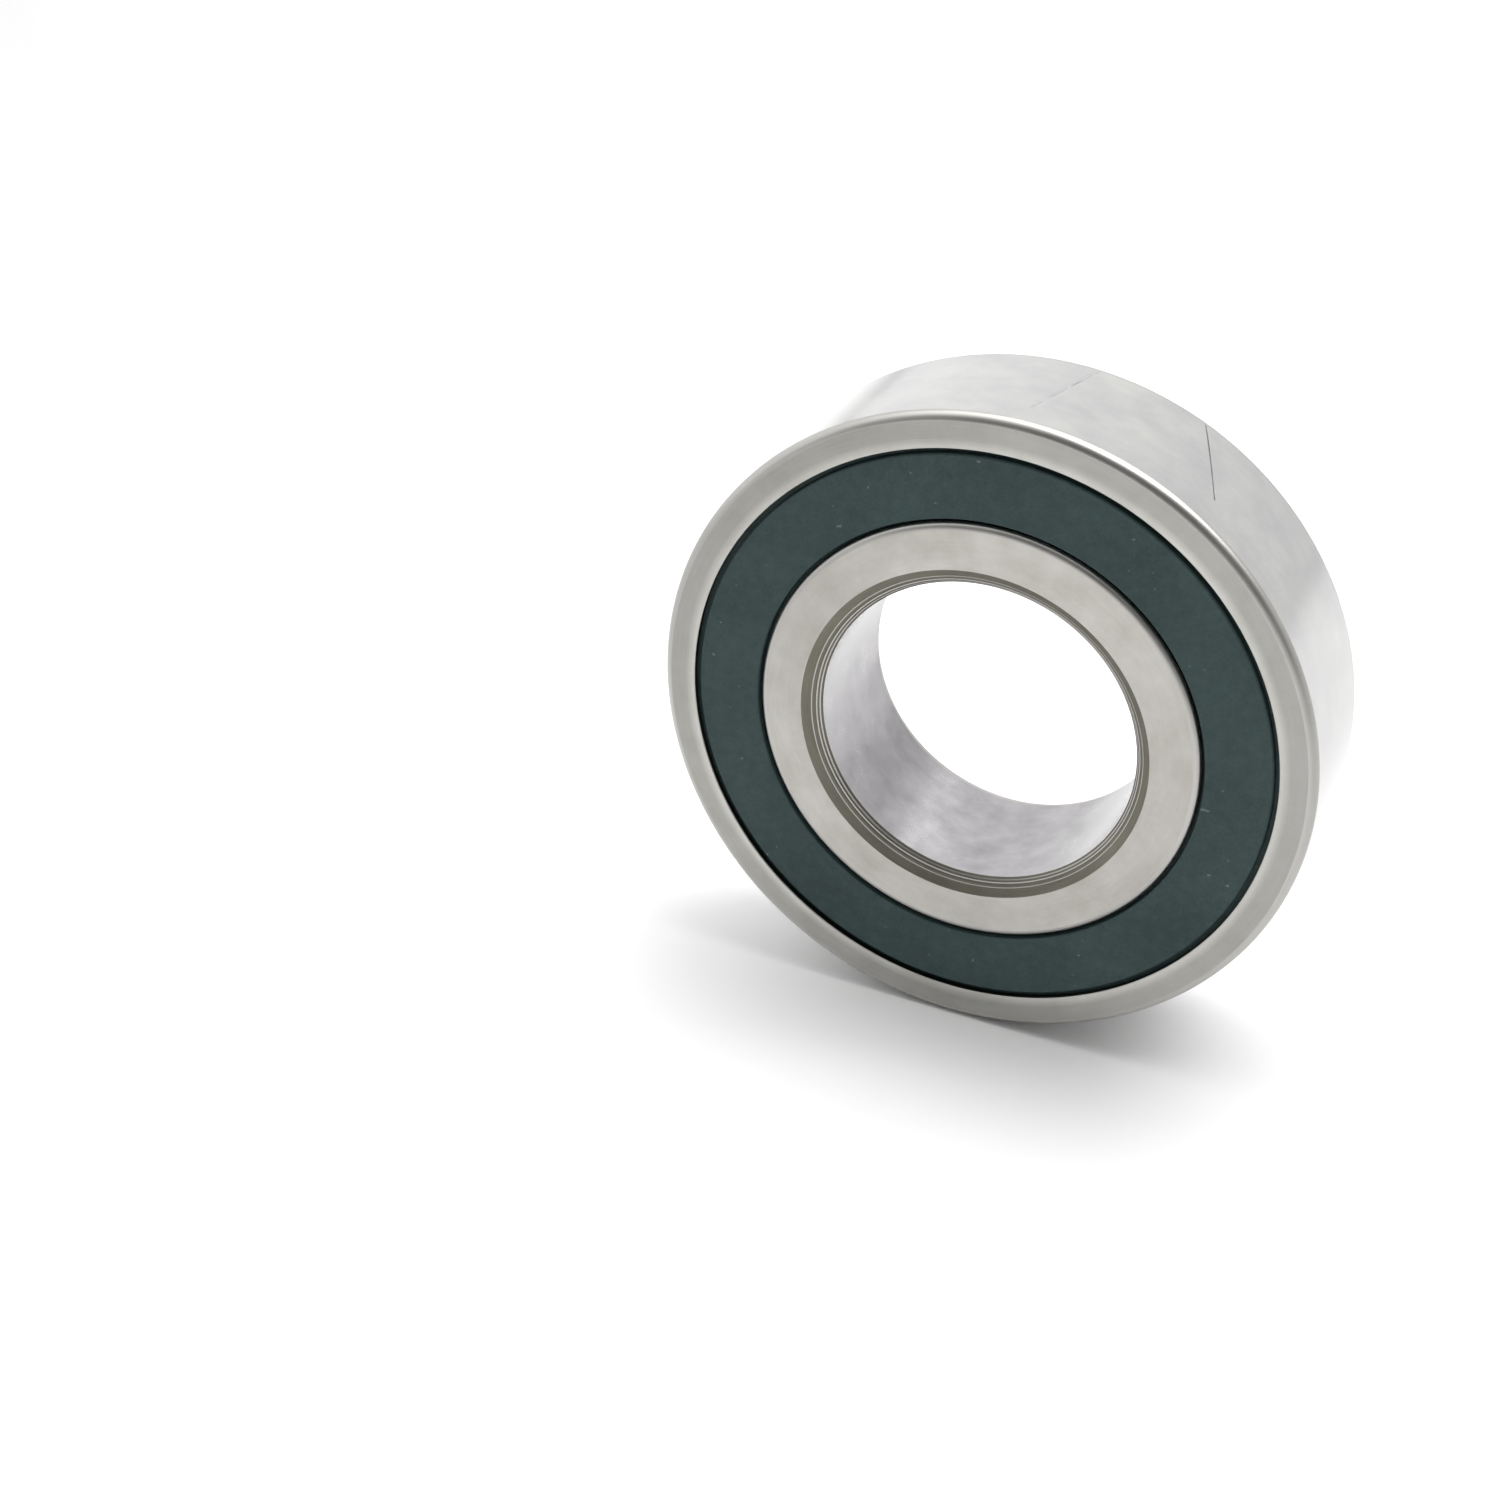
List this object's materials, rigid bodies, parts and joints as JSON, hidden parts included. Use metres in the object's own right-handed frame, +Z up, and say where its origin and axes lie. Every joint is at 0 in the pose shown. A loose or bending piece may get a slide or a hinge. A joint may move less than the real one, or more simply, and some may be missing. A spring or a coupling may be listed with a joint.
{
  "type": "angular contact ball bearing",
  "caption": "Sealed single-row angular contact ball bearing: two ground steel rings, dark green rubber seals flush with both faces and a V mark scribed on the outside.",
  "frame": {"origin": "centre of the bearing, on its turning axis, midway between the two faces", "axes": "+Y along the turning axis, from the front face to the rear face; +Z up; +X completes the right-handed frame"},
  "size_m": [0.062, 0.016, 0.062],
  "materials": {
    "ground_steel_outer": "fine ground bearing steel",
    "ground_steel_inner": "fine ground bearing steel",
    "seal_rubber": "matte moulded nitrile rubber, dark green",
    "insert_steel": "cold-rolled sheet steel",
    "cage_resin": "machined fabric-reinforced phenolic resin",
    "ball_steel": "polished chromium bearing steel"
  },
  "bodies": {
    "outer": {"outer_ring": "ground_steel_outer", "front_seal": "seal_rubber", "rear_seal": "seal_rubber", "front_seal_insert": "insert_steel", "rear_seal_insert": "insert_steel"},
    "inner": {"inner_ring": "ground_steel_inner"},
    "cage": {"cage": "cage_resin"},
    "ball_01": {"ball_01": "ball_steel"},
    "ball_02": {"ball_02": "ball_steel"},
    "ball_03": {"ball_03": "ball_steel"},
    "ball_04": {"ball_04": "ball_steel"},
    "ball_05": {"ball_05": "ball_steel"},
    "ball_06": {"ball_06": "ball_steel"},
    "ball_07": {"ball_07": "ball_steel"},
    "ball_08": {"ball_08": "ball_steel"},
    "ball_09": {"ball_09": "ball_steel"},
    "ball_10": {"ball_10": "ball_steel"},
    "ball_11": {"ball_11": "ball_steel"},
    "ball_12": {"ball_12": "ball_steel"},
    "ball_13": {"ball_13": "ball_steel"}
  },
  "joints": [
    {"name": "inner_spin", "type": "hinge", "parent": "outer", "child": "inner", "pos_m": [0, 0, 0], "axis": [0, 1, 0], "continuous": true},
    {"name": "cage_spin", "type": "hinge", "parent": "outer", "child": "cage", "pos_m": [0, 0, 0], "axis": [0, 1, 0], "continuous": true},
    {"name": "ball_01_spin", "type": "hinge", "parent": "cage", "child": "ball_01", "pos_m": [0, 0, 0.023], "axis": [0, 0.9659, -0.2588], "continuous": true},
    {"name": "ball_02_spin", "type": "hinge", "parent": "cage", "child": "ball_02", "pos_m": [-0.01069, 0, 0.02037], "axis": [0.1203, 0.9659, -0.2292], "continuous": true},
    {"name": "ball_03_spin", "type": "hinge", "parent": "cage", "child": "ball_03", "pos_m": [-0.01893, 0, 0.01307], "axis": [0.213, 0.9659, -0.147], "continuous": true},
    {"name": "ball_04_spin", "type": "hinge", "parent": "cage", "child": "ball_04", "pos_m": [-0.02283, 0, 0.00277], "axis": [0.2569, 0.9659, -0.0312], "continuous": true},
    {"name": "ball_05_spin", "type": "hinge", "parent": "cage", "child": "ball_05", "pos_m": [-0.02151, 0, -0.00816], "axis": [0.242, 0.9659, 0.0918], "continuous": true},
    {"name": "ball_06_spin", "type": "hinge", "parent": "cage", "child": "ball_06", "pos_m": [-0.01525, 0, -0.01722], "axis": [0.1716, 0.9659, 0.1937], "continuous": true},
    {"name": "ball_07_spin", "type": "hinge", "parent": "cage", "child": "ball_07", "pos_m": [-0.0055, 0, -0.02233], "axis": [0.0619, 0.9659, 0.2513], "continuous": true},
    {"name": "ball_08_spin", "type": "hinge", "parent": "cage", "child": "ball_08", "pos_m": [0.0055, 0, -0.02233], "axis": [-0.0619, 0.9659, 0.2513], "continuous": true},
    {"name": "ball_09_spin", "type": "hinge", "parent": "cage", "child": "ball_09", "pos_m": [0.01525, 0, -0.01722], "axis": [-0.1716, 0.9659, 0.1937], "continuous": true},
    {"name": "ball_10_spin", "type": "hinge", "parent": "cage", "child": "ball_10", "pos_m": [0.02151, 0, -0.00816], "axis": [-0.242, 0.9659, 0.0918], "continuous": true},
    {"name": "ball_11_spin", "type": "hinge", "parent": "cage", "child": "ball_11", "pos_m": [0.02283, 0, 0.00277], "axis": [-0.2569, 0.9659, -0.0312], "continuous": true},
    {"name": "ball_12_spin", "type": "hinge", "parent": "cage", "child": "ball_12", "pos_m": [0.01893, 0, 0.01307], "axis": [-0.213, 0.9659, -0.147], "continuous": true},
    {"name": "ball_13_spin", "type": "hinge", "parent": "cage", "child": "ball_13", "pos_m": [0.01069, 0, 0.02037], "axis": [-0.1203, 0.9659, -0.2292], "continuous": true}
  ],
  "couplings": [
    {"joint": "cage_spin", "follows": "inner_spin", "ratio": 0.4},
    {"joint": "ball_01_spin", "follows": "inner_spin", "ratio": -2.3181},
    {"joint": "ball_02_spin", "follows": "inner_spin", "ratio": -2.3181},
    {"joint": "ball_03_spin", "follows": "inner_spin", "ratio": -2.3181},
    {"joint": "ball_04_spin", "follows": "inner_spin", "ratio": -2.3181},
    {"joint": "ball_05_spin", "follows": "inner_spin", "ratio": -2.3181},
    {"joint": "ball_06_spin", "follows": "inner_spin", "ratio": -2.3181},
    {"joint": "ball_07_spin", "follows": "inner_spin", "ratio": -2.3181},
    {"joint": "ball_08_spin", "follows": "inner_spin", "ratio": -2.3181},
    {"joint": "ball_09_spin", "follows": "inner_spin", "ratio": -2.3181},
    {"joint": "ball_10_spin", "follows": "inner_spin", "ratio": -2.3181},
    {"joint": "ball_11_spin", "follows": "inner_spin", "ratio": -2.3181},
    {"joint": "ball_12_spin", "follows": "inner_spin", "ratio": -2.3181},
    {"joint": "ball_13_spin", "follows": "inner_spin", "ratio": -2.3181}
  ]
}
